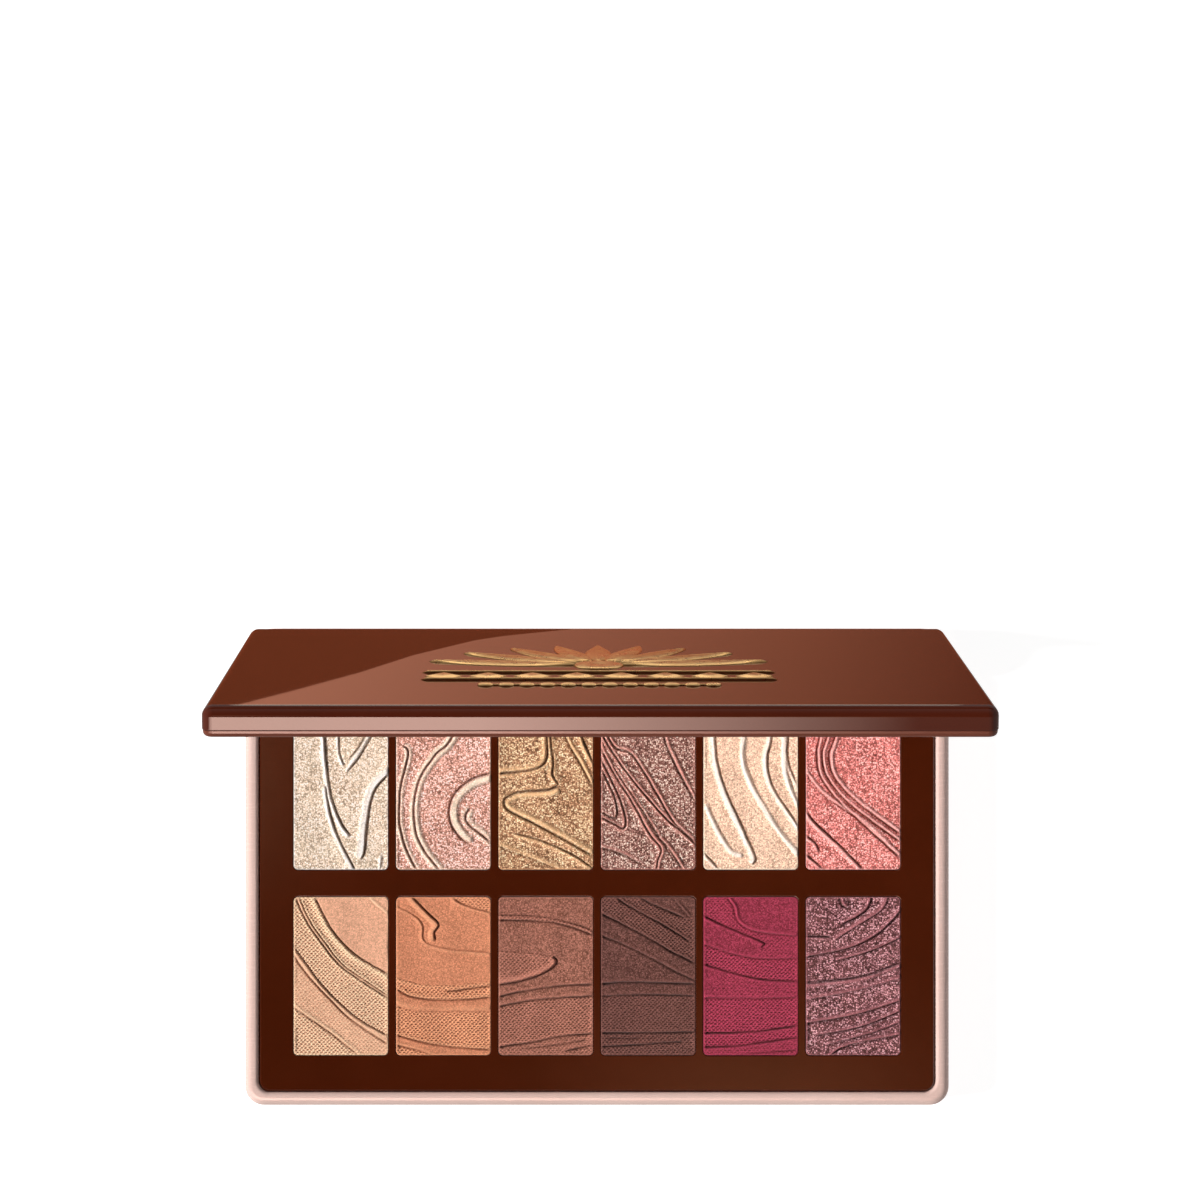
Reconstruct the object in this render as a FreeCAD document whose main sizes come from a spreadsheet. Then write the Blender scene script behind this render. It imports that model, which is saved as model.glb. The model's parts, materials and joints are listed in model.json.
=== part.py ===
import FreeCAD, Part
import os
from math import cos, sin, radians, hypot

# Eyeshadow palette with a mirrored lid on a full-width barrel hinge.
# Frame: +Z up, +X along the palette, -Y to the front edge, origin at the middle of the base's underside.
# The lid stands open by open_angle; its bodies are drawn closed about the hinge axis and turned by Placement.

os.makedirs("parts", exist_ok=True)
doc = FreeCAD.newDocument("eyeshadow_palette")
V = FreeCAD.Vector

VALUES = [
    ("base_length", 130.0), ("base_depth", 88.0), ("base_height", 8.0),
    ("front_corner_r", 3.5), ("rear_corner_r", 4.5),
    ("rim_outer_r", 1.5), ("rim_inner_r", 0.7), ("foot_r", 0.8),
    ("wall", 2.5), ("floor_t", 1.2),
    ("tray_fit", 0.12), ("tray_drop", 0.3), ("tray_corner_r", 2.0), ("tray_edge", 0.35),
    ("well_skin", 1.0),
    ("columns", 6), ("rows", 2),
    ("column_gap", 1.3), ("row_gap", 4.9), ("side_margin", 6.3), ("front_margin", 6.6), ("rear_margin", 3.2),
    ("pan_height", 3.2), ("pan_wall", 0.35), ("pan_corner_r", 0.8), ("pan_fit", 0.12), ("pan_drop", 0.15),
    ("glue_t", 0.1), ("glue_margin", 2.0),
    ("seam_gap", 0.05), ("open_angle", 81.8), ("lid_thickness", 5.15), ("lid_inset", 0.85),
    ("lid_corner_r", 1.8), ("lid_edge_r", 1.75), ("lid_skin", 1.6), ("lid_wall", 2.0),
    ("frame_edge_t", 1.1), ("frame_plug_t", 1.3), ("frame_fit", 0.15), ("frame_edge_r", 0.9),
    ("frame_inset", 0.12), ("cover_lip_r", 0.25),
    ("mirror_t", 1.1), ("mirror_glue_t", 0.1), ("mirror_sink", 0.1), ("mirror_fit", 0.15),
    ("mirror_margin", 8.5), ("mirror_rear_margin", 4.0),
    ("trough_gap", 0.25), ("barrel_lap_angle", 25.0), ("barrel_wall", 1.3),
    ("knuckle_gap", 0.4), ("knuckle_side_gap", 0.15), ("knuckle_length", 8.0), ("end_knuckle", 6.0),
    ("arm_thickness", 1.9), ("arm_gap", 0.15),
    ("pin_r", 0.75), ("pin_hold", 0.02), ("pin_run", 0.06), ("pin_grip", 5.5), ("pin_sink", 0.8),
    ("magnet_r", 2.0), ("magnet_t", 1.6), ("magnet_fit", 0.1), ("magnet_skin", 0.8), ("magnet_end_gap", 17.6),
    ("ornament_t", 0.4), ("ornament_width", 60.0), ("fan_far", 20.3), ("fan_near", 46.0),
    ("band_far", 48.4), ("band_near", 56.6), ("pearl_line", 61.6), ("pearl_row_width", 40.7),
]

# Sizes that follow from the ones above.
DERIVED = [
    ("hinge_z", "base_height + seam_gap"),
    ("hinge_y", "base_depth / 2 - lid_thickness"),
    ("trough_r", "lid_thickness + trough_gap"),
    ("tray_length", "base_length - 2 * wall - 2 * tray_fit"),
    ("tray_front", "-base_depth / 2 + wall + tray_fit"),
    ("pocket_rear", "hinge_y - trough_r - 1.3"),
    ("tray_rear", "pocket_rear - tray_fit"),
    ("tray_top", "base_height - tray_drop"),
    ("pan_top", "tray_top - pan_drop"),
    ("pan_base", "pan_top - pan_height"),
    ("well_floor", "pan_base - glue_t"),
    ("well_width", "(tray_length - 2 * side_margin - (columns - 1) * column_gap) / columns"),
    ("well_length", "(tray_rear - tray_front - front_margin - rear_margin - (rows - 1) * row_gap) / rows"),
    ("pan_width", "well_width - 2 * pan_fit"),
    ("pan_length", "well_length - 2 * pan_fit"),
    ("column_pitch", "well_width + column_gap"),
    ("row_pitch", "well_length + row_gap"),
    ("front_row_y", "tray_front + front_margin + well_length / 2"),
    ("lid_length", "base_length - 2 * lid_inset"),
    ("lid_reach", "hinge_y + base_depth / 2 - lid_inset"),
    ("frame_rear", "trough_r + 1.1"),
    ("plug_rear", "frame_rear + lid_wall"),
    ("mirror_length", "lid_length - 2 * mirror_margin"),
    ("mirror_front", "lid_reach - mirror_margin"),
    ("mirror_rear", "frame_rear + mirror_rear_margin"),
    ("recess_t", "mirror_t + mirror_glue_t + mirror_sink"),
    ("cavity_r", "lid_thickness - barrel_wall"),
    ("knuckle_r", "cavity_r - knuckle_gap"),
    ("knuckle_out", "lid_length / 2 - end_knuckle - knuckle_side_gap"),
    ("pin_length", "end_knuckle + knuckle_length + 2 * knuckle_side_gap + pin_grip - pin_sink"),
    ("magnet_x", "base_length / 2 - magnet_end_gap"),
    ("magnet_y", "tray_front + front_margin / 2"),
]

sheet = doc.addObject("Spreadsheet::Sheet", "Sizes")
for row, (name, value) in enumerate(VALUES + DERIVED, start=1):
    sheet.set(f"A{row}", name)
    sheet.set(f"B{row}", "=" + value if isinstance(value, str) else str(value))
    sheet.setAlias(f"B{row}", name)
doc.recompute()
S = {name: float(sheet.get(name)) for name, _ in VALUES + DERIVED}
NAMES = sorted(S, key=len, reverse=True)


def bound(text):
    """The expression with each size name pointed at the sheet."""
    out, word = "", ""
    for ch in text + " ":
        if ch.isalnum() or ch == "_":
            word += ch
        else:
            out += ("Sizes." + word if word in S else word) + ch
            word = ""
    return out.strip()


def new_body(label, lid=False, at=None):
    body = doc.addObject("PartDesign::Body", label)
    body.Label = label
    if lid:
        body.setExpression("Placement", bound(
            "placement(vector(0; hinge_y; hinge_z); rotation(vector(1; 0; 0); -1 * open_angle))"))
    if at:
        for axis, text in zip("xyz", at):
            body.setExpression("Placement.Base." + axis, bound(text))
    return body


def plane(body, role):
    return [f for f in body.Origin.OriginFeatures if f.Role == role][0]


def box(body, name, low, size, cut=False):
    """A box from its low corner and its three lengths, all expressions of the sheet."""
    kind = "PartDesign::SubtractiveBox" if cut else "PartDesign::AdditiveBox"
    feature = body.newObject(kind, name)
    for prop, text in zip(("Length", "Width", "Height"), size):
        feature.setExpression(prop, bound(text))
    for axis, text in zip("xyz", low):
        feature.setExpression("Placement.Base." + axis, bound(text))
    doc.recompute()
    return feature


def rod(body, name, start, length, radius, along="X", cut=False):
    """A cylinder from the centre of its first end, along X or Z."""
    kind = "PartDesign::SubtractiveCylinder" if cut else "PartDesign::AdditiveCylinder"
    feature = body.newObject(kind, name)
    feature.setExpression("Height", bound(length))
    feature.setExpression("Radius", bound(radius))
    if along == "X":
        feature.Placement.Rotation = FreeCAD.Rotation(V(0, 1, 0), 90)
    for axis, text in zip("xyz", start):
        feature.setExpression("Placement.Base." + axis, bound(text))
    doc.recompute()
    return feature


def sketch(body, name, role, lines, offset=None):
    """A closed sketch of straight runs and arcs given as point lists; every corner is tied."""
    made = body.newObject("Sketcher::SketchObject", name)
    made.AttachmentSupport = [(plane(body, role), "")]
    made.MapMode = "FlatFace"
    if offset:
        made.setExpression("AttachmentOffset.Base.z", bound(offset))
    import Sketcher
    for run in lines:
        first = made.GeometryCount
        for points in run:
            a, b = V(*points[0], 0), V(*points[-1], 0)
            made.addGeometry(Part.LineSegment(a, b) if len(points) == 2
                             else Part.Arc(a, V(*points[1], 0), b), False)
        count = made.GeometryCount - first
        for i in range(count):
            here, after = first + i, first + (i + 1) % count
            end = made.getPoint(here, 2)
            pos = 1 if (made.getPoint(after, 1) - end).Length < 1e-6 else 2
            start_pos = 2
            if (made.getPoint(after, pos) - end).Length > 1e-6:
                start_pos = 1
                end = made.getPoint(here, 1)
                pos = 1 if (made.getPoint(after, 1) - end).Length < 1e-6 else 2
            made.addConstraint(Sketcher.Constraint("Coincident", here, start_pos, after, pos))
    doc.recompute()
    return made


def pad(body, name, profile, length, midplane=False):
    feature = body.newObject("PartDesign::Pad", name)
    feature.Profile = profile
    feature.setExpression("Length", bound(length))
    feature.Midplane = midplane
    doc.recompute()
    return feature


def pocket(body, name, profile, length, midplane=False):
    feature = body.newObject("PartDesign::Pocket", name)
    feature.Profile = profile
    feature.setExpression("Length", bound(length))
    feature.Midplane = midplane
    doc.recompute()
    return feature


def edges_of(shape, test):
    found = []
    for i, edge in enumerate(shape.Edges, start=1):
        ends = [v.Point for v in edge.Vertexes]
        if len(ends) == 2 and test(edge, ends[0], ends[1]):
            found.append(f"Edge{i}")
    return found


def soften(body, name, radius, test, chamfer=False):
    """A fillet or chamfer on the edges of the body's tip that pass the test."""
    tip = body.Tip
    feature = body.newObject("PartDesign::Chamfer" if chamfer else "PartDesign::Fillet", name)
    feature.Base = (tip, edges_of(tip.Shape, test))
    feature.setExpression("Size" if chamfer else "Radius", bound(radius))
    doc.recompute()
    return feature


def near(a, b):
    return abs(a - b) < 1e-4


def upright(edge, a, b):
    return near(a.x, b.x) and near(a.y, b.y) and not near(a.z, b.z)


def level(z):
    return lambda edge, a, b: near(a.z, z) and near(b.z, z)


# ---------------------------------------------------------------- base
half_l, half_d = S["base_length"] / 2, S["base_depth"] / 2
base = new_body("base_shell")
box(base, "block", ("-base_length / 2", "-base_depth / 2", "0"), ("base_length", "base_depth", "base_height"))
soften(base, "front_corners", "front_corner_r", lambda e, a, b: upright(e, a, b) and a.y < 0)
soften(base, "rear_corners", "rear_corner_r", lambda e, a, b: upright(e, a, b) and a.y > half_d - 0.01)
soften(base, "rim_outer", "rim_outer_r", level(S["base_height"]))
soften(base, "foot", "foot_r", level(0))
box(base, "tray_pocket", ("-base_length / 2 + wall", "-base_depth / 2 + wall", "floor_t"),
    ("base_length - 2 * wall", "pocket_rear + base_depth / 2 - wall", "base_height"), cut=True)
soften(base, "pocket_corners", "tray_corner_r + tray_fit",
       lambda e, a, b: upright(e, a, b) and abs(a.x) < half_l - S["wall"] + 0.01
       and a.y < S["pocket_rear"] + 0.01 and a.y > -half_d + S["wall"] - 0.01)
soften(base, "rim_inner", "rim_inner_r",
       lambda e, a, b: level(S["base_height"])(e, a, b) and max(a.y, b.y) < S["pocket_rear"] + 0.01
       and min(abs(a.x), abs(b.x)) < half_l - S["wall"] + 0.01
       and min(a.y, b.y) > -half_d + S["wall"] - 0.01)
rod(base, "hinge_trough", ("-base_length", "hinge_y", "hinge_z"), "2 * base_length", "trough_r", cut=True)
box(base, "rear_wall_top", ("-base_length", "hinge_y", "hinge_z - 0.56 * trough_r"),
    ("2 * base_length", "base_depth", "base_height"), cut=True)
for side, low in (("left", "-knuckle_out"), ("right", "knuckle_out - knuckle_length")):
    rod(base, "knuckle_" + side, (low, "hinge_y", "hinge_z"), "knuckle_length", "knuckle_r")
    box(base, "arm_" + side, (low, "hinge_y - trough_r - 0.6", "hinge_z - arm_gap - arm_thickness"),
        ("knuckle_length", "trough_r - 1.5", "arm_thickness"))
    rod(base, "pin_bore_" + side, (low + " - 0.05", "hinge_y", "hinge_z"), "knuckle_length + 0.1",
        "pin_r + pin_run", cut=True)
    rod(base, "magnet_post_" + side, (("-" if side == "left" else "") + "magnet_x", "magnet_y", "floor_t - 0.3"),
        "tray_top - magnet_skin - magnet_t - floor_t + 0.3", "magnet_r", along="Z")

# ---------------------------------------------------------------- tray and what it holds
tray = new_body("pan_tray")
box(tray, "plate", ("-tray_length / 2", "tray_front", "floor_t"),
    ("tray_length", "tray_rear - tray_front", "tray_top - floor_t"))
soften(tray, "corners", "tray_corner_r", upright)
soften(tray, "top_edge", "tray_edge", level(S["tray_top"]), chamfer=True)
cells = [(c, r) for r in range(int(S["rows"])) for c in range(int(S["columns"]))]


def cell_x(c):
    return f"({c} - (columns - 1) / 2) * column_pitch"


def cell_y(r):
    return f"front_row_y + {r} * row_pitch"


for c, r in cells:
    box(tray, f"well_{r}_{c}", (cell_x(c) + " - well_width / 2", cell_y(r) + " - well_length / 2", "well_floor"),
        ("well_width", "well_length", "base_height"), cut=True)
    box(tray, f"core_{r}_{c}", (cell_x(c) + " - well_width / 2", cell_y(r) + " - well_length / 2", "floor_t - 1"),
        ("well_width", "well_length", "well_floor - well_skin - floor_t + 1"), cut=True)
soften(tray, "well_corners", "pan_corner_r + pan_fit",
       lambda e, a, b: upright(e, a, b) and min(a.z, b.z) > S["well_floor"] - 0.01
       and max(a.z, b.z) > S["tray_top"] - 0.01 and abs(a.x) < S["tray_length"] / 2 - 1)
soften(tray, "well_lips", "0.15",
       lambda e, a, b: level(S["tray_top"])(e, a, b)
       and max(abs(a.x), abs(b.x)) < S["tray_length"] / 2 - S["tray_edge"] - 0.1
       and min(a.y, b.y) > S["tray_front"] + S["tray_edge"] + 0.1
       and max(a.y, b.y) < S["tray_rear"] - S["tray_edge"] - 0.1)
for side, sign in (("left", "-"), ("right", "")):
    rod(tray, "post_bore_" + side, (sign + "magnet_x", "magnet_y", "floor_t - 1"),
        "tray_top - magnet_skin - floor_t + 1", "magnet_r + magnet_fit", along="Z", cut=True)

for c, r in cells:
    spot = f"{'front' if r == 0 else 'rear'}_{c + 1}"
    pan = new_body("pan_" + spot, at=(cell_x(c), cell_y(r), "pan_base"))
    box(pan, "block", ("-pan_width / 2", "-pan_length / 2", "0"), ("pan_width", "pan_length", "pan_height"))
    soften(pan, "corners", "pan_corner_r", upright)
    soften(pan, "floor_bend", "pan_wall", level(0))
    box(pan, "hollow", ("-pan_width / 2 + pan_wall", "-pan_length / 2 + pan_wall", "pan_wall"),
        ("pan_width - 2 * pan_wall", "pan_length - 2 * pan_wall", "pan_height"), cut=True)
    soften(pan, "hollow_corners", "pan_corner_r - pan_wall",
           lambda e, a, b: upright(e, a, b) and abs(a.x) < S["pan_width"] / 2 - S["pan_wall"] + 0.01
           and abs(a.y) < S["pan_length"] / 2 - S["pan_wall"] + 0.01)
    powder = new_body("powder_" + spot, at=(cell_x(c), cell_y(r), "pan_base + pan_wall"))
    box(powder, "cake", ("-pan_width / 2 + pan_wall", "-pan_length / 2 + pan_wall", "0"),
        ("pan_width - 2 * pan_wall", "pan_length - 2 * pan_wall", "pan_height - pan_wall"))
    soften(powder, "corners", "pan_corner_r - pan_wall", upright)

pads = new_body("pan_glue_pads")
for c, r in cells:
    box(pads, f"pad_{r}_{c}", (cell_x(c) + " - pan_width / 2 + glue_margin", cell_y(r) + " - pan_length / 2 + glue_margin",
                             "well_floor"),
        ("pan_width - 2 * glue_margin", "pan_length - 2 * glue_margin", "glue_t"))

for side, sign in (("left", "-"), ("right", "")):
    magnet = new_body("base_magnet_" + side)
    rod(magnet, "disc", (sign + "magnet_x", "magnet_y", "tray_top - magnet_skin - magnet_t"),
        "magnet_t", "magnet_r", along="Z")

# ---------------------------------------------------------------- lid, drawn closed about the hinge axis
T, E = S["lid_thickness"], S["lid_edge_r"]
half_lid, reach = S["lid_length"] / 2, S["lid_reach"]
cover = new_body("lid_cover", lid=True)
box(cover, "slab", ("-lid_length / 2", "-lid_reach", "0"), ("lid_length", "lid_reach", "lid_thickness"))
soften(cover, "front_corners", "lid_corner_r", lambda e, a, b: upright(e, a, b) and a.y < -1)
soften(cover, "top_edge", "lid_edge_r",
       lambda e, a, b: level(T)(e, a, b) and not (near(a.y, 0) and near(b.y, 0)))
turn = 2 ** -0.5
barrel = sketch(cover, "barrel_profile", "XZ_Plane", [[
    ((-half_lid, 0), (-half_lid, T - E)),
    ((-half_lid, T - E), (-half_lid + E * (1 - turn), T - E * (1 - turn)), (-half_lid + E, T)),
    ((-half_lid + E, T), (half_lid - E, T)),
    ((half_lid - E, T), (half_lid - E * (1 - turn), T - E * (1 - turn)), (half_lid, T - E)),
    ((half_lid, T - E), (half_lid, 0)),
    ((half_lid, 0), (-half_lid, 0)),
]])
spin = cover.newObject("PartDesign::Revolution", "barrel")
spin.Profile = barrel
spin.ReferenceAxis = (barrel, ["H_Axis"])
spin.Angle = 360
doc.recompute()
box(cover, "frame_step", ("-lid_length", "-2 * lid_reach", "-1"),
    ("2 * lid_length", "2 * lid_reach - frame_rear + frame_fit", "frame_edge_t + 1"), cut=True)
soften(cover, "lower_lip", "cover_lip_r",
       lambda e, a, b: level(S["frame_edge_t"])(e, a, b)
       and max(a.y, b.y) < -S["frame_rear"] + S["frame_fit"] + 0.01
       and not (near(a.y, b.y) and near(a.y, -S["frame_rear"] + S["frame_fit"])))
box(cover, "plug_cavity", ("-lid_length / 2 + lid_wall", "-lid_reach + lid_wall", "frame_edge_t - 0.5"),
    ("lid_length - 2 * lid_wall", "lid_reach - lid_wall - plug_rear + frame_fit",
     "lid_thickness - lid_skin - frame_edge_t + 0.5"), cut=True)
lap = radians(S["barrel_lap_angle"])
far = 2 * T
for side, sign, low in (("left", -1, "-knuckle_out - knuckle_side_gap"),
                        ("right", 1, "knuckle_out - knuckle_length - knuckle_side_gap")):
    rod(cover, "knuckle_room_" + side, (low, "0", "0"), "knuckle_length + 2 * knuckle_side_gap", "cavity_r", cut=True)
    opening = sketch(cover, "arm_room_profile_" + side, "YZ_Plane", [[
        ((0, 0), (-T - 1, 0)), ((-T - 1, 0), (-T - 1, -far)), ((-T - 1, -far), (far, -far)),
        ((far, -far), (far, -far * sin(lap) / cos(lap))),
        ((far, -far * sin(lap) / cos(lap)), (0, 0)),
    ]], offset=low)
    cut_out = pocket(cover, "arm_room_" + side, opening, "knuckle_length + 2 * knuckle_side_gap")
    cut_out.Reversed = True
    doc.recompute()
    bore_low = "-lid_length / 2 - 1" if sign < 0 else "lid_length / 2 - pin_sink - pin_length"
    rod(cover, "pin_bore_" + side, (bore_low, "0", "0"), "pin_length + pin_sink + 1", "pin_r + pin_hold", cut=True)

frame = new_body("mirror_frame", lid=True)
box(frame, "flange", ("-lid_length / 2 + frame_inset", "-lid_reach + frame_inset", "0"),
    ("lid_length - 2 * frame_inset", "lid_reach - frame_inset - frame_rear", "frame_edge_t"))
soften(frame, "corners", "lid_corner_r - frame_inset", lambda e, a, b: upright(e, a, b) and a.y < -reach / 2)
soften(frame, "lower_edge", "frame_edge_r",
       lambda e, a, b: level(0)(e, a, b) and not (near(a.y, -S["frame_rear"]) and near(b.y, -S["frame_rear"])))
box(frame, "plug", ("-lid_length / 2 + lid_wall + frame_fit", "-lid_reach + lid_wall + frame_fit", "frame_edge_t - 0.2"),
    ("lid_length - 2 * lid_wall - 2 * frame_fit", "lid_reach - lid_wall - frame_fit - plug_rear",
     "frame_plug_t + 0.2"))
box(frame, "mirror_recess", ("-mirror_length / 2 - mirror_fit", "-mirror_front - mirror_fit", "-1"),
    ("mirror_length + 2 * mirror_fit", "mirror_front - mirror_rear + 2 * mirror_fit", "recess_t + 1"), cut=True)
soften(frame, "recess_corners", "1.2",
       lambda e, a, b: upright(e, a, b) and abs(a.x) < S["mirror_length"] / 2 + S["mirror_fit"] + 0.01
       and max(a.z, b.z) < S["recess_t"] + 0.01 and a.y > -S["mirror_front"] - S["mirror_fit"] - 0.01)
for side, sign in (("left", "-"), ("right", "")):
    rod(frame, "magnet_bore_" + side, (sign + "magnet_x", "magnet_y - hinge_y", "frame_edge_t + frame_plug_t - magnet_t"),
        "magnet_t + 1", "magnet_r + magnet_fit", along="Z", cut=True)

mirror = new_body("mirror_glass", lid=True)
box(mirror, "pane", ("-mirror_length / 2", "-mirror_front", "mirror_sink"),
    ("mirror_length", "mirror_front - mirror_rear", "mirror_t"))
soften(mirror, "corners", "1.0", upright)
soften(mirror, "ground_edge", "0.25", level(S["mirror_sink"]), chamfer=True)
glue = new_body("mirror_adhesive", lid=True)
box(glue, "sheet", ("-mirror_length / 2 + 2", "-mirror_front + 2", "mirror_sink + mirror_t"),
    ("mirror_length - 4", "mirror_front - mirror_rear - 4", "mirror_glue_t"))

for side, sign in (("left", "-"), ("right", "")):
    magnet = new_body("lid_magnet_" + side, lid=True)
    rod(magnet, "disc", (sign + "magnet_x", "magnet_y - hinge_y", "frame_edge_t + frame_plug_t - magnet_t"),
        "magnet_t", "magnet_r", along="Z")
    pin = new_body("hinge_pin_" + side, lid=True)
    start = "-lid_length / 2 + pin_sink" if side == "left" else "lid_length / 2 - pin_sink - pin_length"
    rod(pin, "shank", (start, "0", "0"), "pin_length", "pin_r")


def leaf(centre, root, tip, width, angle):
    """Two arcs from root to tip at an angle from the lid's length towards the hinge."""
    ux, uy = sin(angle), cos(angle)
    a = (centre[0] + ux * root, centre[1] + uy * root)
    b = (centre[0] + ux * tip, centre[1] + uy * tip)
    mid = ((a[0] + b[0]) / 2, (a[1] + b[1]) / 2)
    left = (mid[0] - uy * width / 2, mid[1] + ux * width / 2)
    right = (mid[0] + uy * width / 2, mid[1] - ux * width / 2)
    return [(a, left, b), (b, right, a)]


def ring(centre, radius):
    x, y = centre
    return [((x - radius, y), (x, y + radius), (x + radius, y)), ((x + radius, y), (x, y - radius), (x - radius, y))]


def bar(x0, x1, y0, y1):
    return [((x0, y0), (x1, y0)), ((x1, y0), (x1, y1)), ((x1, y1), (x0, y1)), ((x0, y1), (x0, y0))]


def trim(label, layers):
    """A flat gold piece on the lid's outer face from layers of profiles."""
    body = new_body(label, lid=True)
    for i, profiles in enumerate(layers):
        drawn = sketch(body, f"profile_{i}", "XY_Plane", profiles, offset="lid_thickness")
        pad(body, f"raised_{i}", drawn, "ornament_t")
    return body


half_orn = S["ornament_width"] / 2
fan_depth = S["fan_near"] - S["fan_far"]
heart = (0.0, -S["fan_near"] + 4.6)
leaves = []
for i in range(-4, 5):
    a = radians(20.5 * i)
    tip = 1 / hypot(sin(a) / half_orn, cos(a) / (fan_depth - 4.6))
    leaves.append(leaf(heart, 3.6, tip, 0.17 * tip + 1.0, a))
trim("ornament_fan", [leaves, [ring(heart, 4.4)]])

band_mid = -(S["band_far"] + S["band_near"]) / 2
half_band = (S["band_near"] - S["band_far"]) / 2
lozenges = []
pitch = S["ornament_width"] / 8
for i in range(8):
    x = -half_orn + (i + 0.5) * pitch
    hx, hy = pitch / 2 - 0.35, half_band - 0.5
    lozenges.append([((x - hx, band_mid), (x, band_mid + hy)), ((x, band_mid + hy), (x + hx, band_mid)),
                     ((x + hx, band_mid), (x, band_mid - hy)), ((x, band_mid - hy), (x - hx, band_mid))])
trim("ornament_band", [[bar(-half_orn, half_orn, band_mid + s * half_band - 0.45 * (s + 1), band_mid
                            + s * half_band - 0.45 * (s - 1)) for s in (-1, 1)], lozenges])

half_row = S["pearl_row_width"] / 2
pearls = [ring((-half_row + 1.4 + i * (2 * half_row - 2.8) / 11, -S["pearl_line"]), 1.4) for i in range(12)]
trim("ornament_pearls", [pearls, [bar(-half_row + 1.0, half_row - 1.0, -S["pearl_line"] - 0.35, -S["pearl_line"] + 0.35)]])

# ---------------------------------------------------------------- check and write
doc.recompute()
for thing in doc.Objects:
    if {"Invalid", "Error"} & set(thing.State):
        raise RuntimeError(f"{thing.Label}: {thing.State}")
for body in [o for o in doc.Objects if o.TypeId == "PartDesign::Body"]:
    shape = body.Shape
    if shape.isNull() or not shape.isValid() or shape.Volume <= 0:
        raise RuntimeError(f"{body.Label} has no sound shape")
    shape.exportStep(f"parts/{body.Label}.step")
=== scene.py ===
import json
import math

import bmesh
import bpy
import numpy as np
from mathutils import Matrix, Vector


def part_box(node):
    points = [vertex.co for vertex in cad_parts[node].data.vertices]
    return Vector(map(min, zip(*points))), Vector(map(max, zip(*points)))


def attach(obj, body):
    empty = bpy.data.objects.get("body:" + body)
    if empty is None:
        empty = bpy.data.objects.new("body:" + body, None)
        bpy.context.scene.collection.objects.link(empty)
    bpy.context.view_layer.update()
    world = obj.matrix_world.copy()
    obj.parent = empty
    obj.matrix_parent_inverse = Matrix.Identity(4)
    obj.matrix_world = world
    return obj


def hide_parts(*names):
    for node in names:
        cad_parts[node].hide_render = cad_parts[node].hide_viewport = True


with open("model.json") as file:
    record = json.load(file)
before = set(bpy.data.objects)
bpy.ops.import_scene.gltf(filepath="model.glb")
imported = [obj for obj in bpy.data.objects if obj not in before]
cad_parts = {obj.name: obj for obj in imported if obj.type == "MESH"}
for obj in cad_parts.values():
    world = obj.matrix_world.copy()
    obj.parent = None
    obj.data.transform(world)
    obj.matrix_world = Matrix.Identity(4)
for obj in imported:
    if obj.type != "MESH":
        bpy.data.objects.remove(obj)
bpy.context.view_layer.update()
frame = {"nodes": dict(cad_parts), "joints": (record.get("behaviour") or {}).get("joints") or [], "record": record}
NODES = frame["nodes"]
MM = 0.001

# ------------------------------------------------------------------ places read from the frame
HINGE = next(j for j in frame["joints"] if j["name"] == "lid_hinge")
AXIS_Y, AXIS_Z = HINGE["pos_m"][1], HINGE["pos_m"][2]
OPEN = math.radians(-HINGE["range_deg"][0])     # the lid's angle from closed, at rest
LID_T = 5.15 * MM                               # from the hinge axis to the lid's outer face


def lid_point(x, d, n):
    """A place on the lid: x along it, d from the hinge axis to its front edge, n out from its inner face."""
    return Vector((x, AXIS_Y - d * math.cos(OPEN) + n * math.sin(OPEN),
                   AXIS_Z + d * math.sin(OPEN) + n * math.cos(OPEN)))


# ------------------------------------------------------------------ materials
def srgb(r, g, b):
    """An 0 to 255 display colour as linear values."""
    out = []
    for c in (r, g, b):
        c /= 255
        out.append(c / 12.92 if c <= 0.04045 else ((c + 0.055) / 1.055) ** 2.4)
    return (*out, 1.0)


def shade(colour, factor):
    """A darker or lighter tone, warmer as it darkens."""
    warm = (0.9, 1.0, 1.12) if factor < 1 else (1.0, 1.0, 1.0)
    return (*[min(1.0, c * factor ** w) for c, w in zip(colour, warm)], 1.0)


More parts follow.
